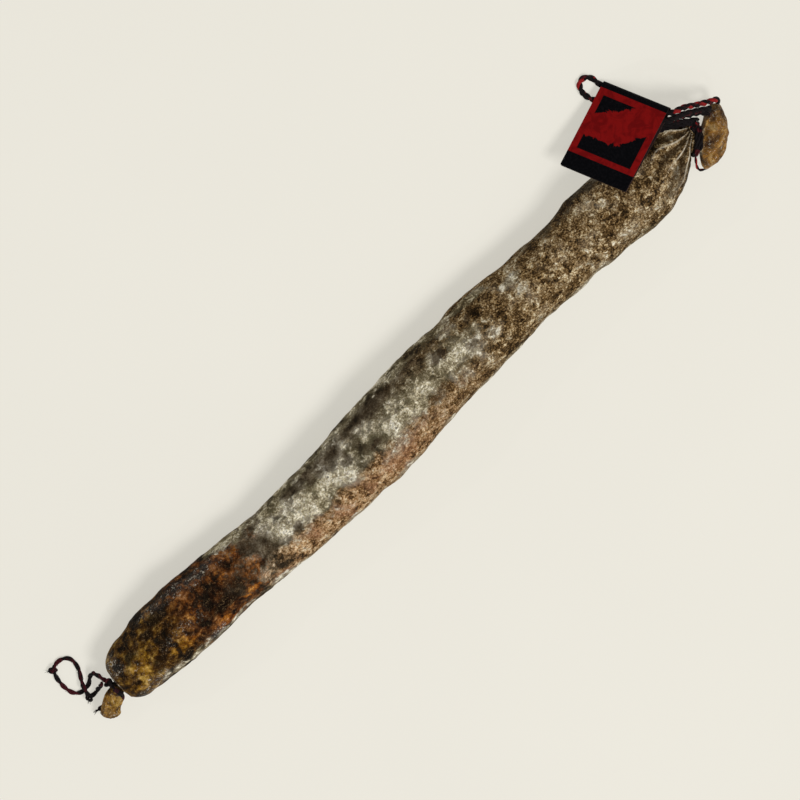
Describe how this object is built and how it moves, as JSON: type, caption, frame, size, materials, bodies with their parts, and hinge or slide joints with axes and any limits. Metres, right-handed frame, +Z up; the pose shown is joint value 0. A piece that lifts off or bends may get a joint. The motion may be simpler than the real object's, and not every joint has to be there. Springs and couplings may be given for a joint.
{
  "type": "cured sausage",
  "caption": "Long cured sausage in a natural casing, tied off at both ends, with a cord loop at each end and a folded card tag on one loop.",
  "frame": {"origin": "on the surface that the sausage lies on, under the middle of the footprint of the sausage and its two ties, without the loops and the tag", "axes": "+X along the sausage, from the plain looped end to the end with the tag; +Y to the side on which the tag hangs; +Z up"},
  "size_m": [0.6074, 0.1097, 0.0555],
  "materials": {
    "casing": "dried natural casing with mould bloom, glossy towards one end",
    "black_cord": "twisted cotton twine, black with dark red strands",
    "red_cord": "two-ply twisted cotton twine, red and black",
    "tag_card": "semi-gloss coated card, plain red and black panels"
  },
  "bodies": {
    "root": {"sausage": "casing", "lower_tie": "black_cord", "lower_loop": "black_cord", "upper_tie": "black_cord", "upper_loop": "red_cord", "tag": "tag_card"}
  },
  "joints": []
}
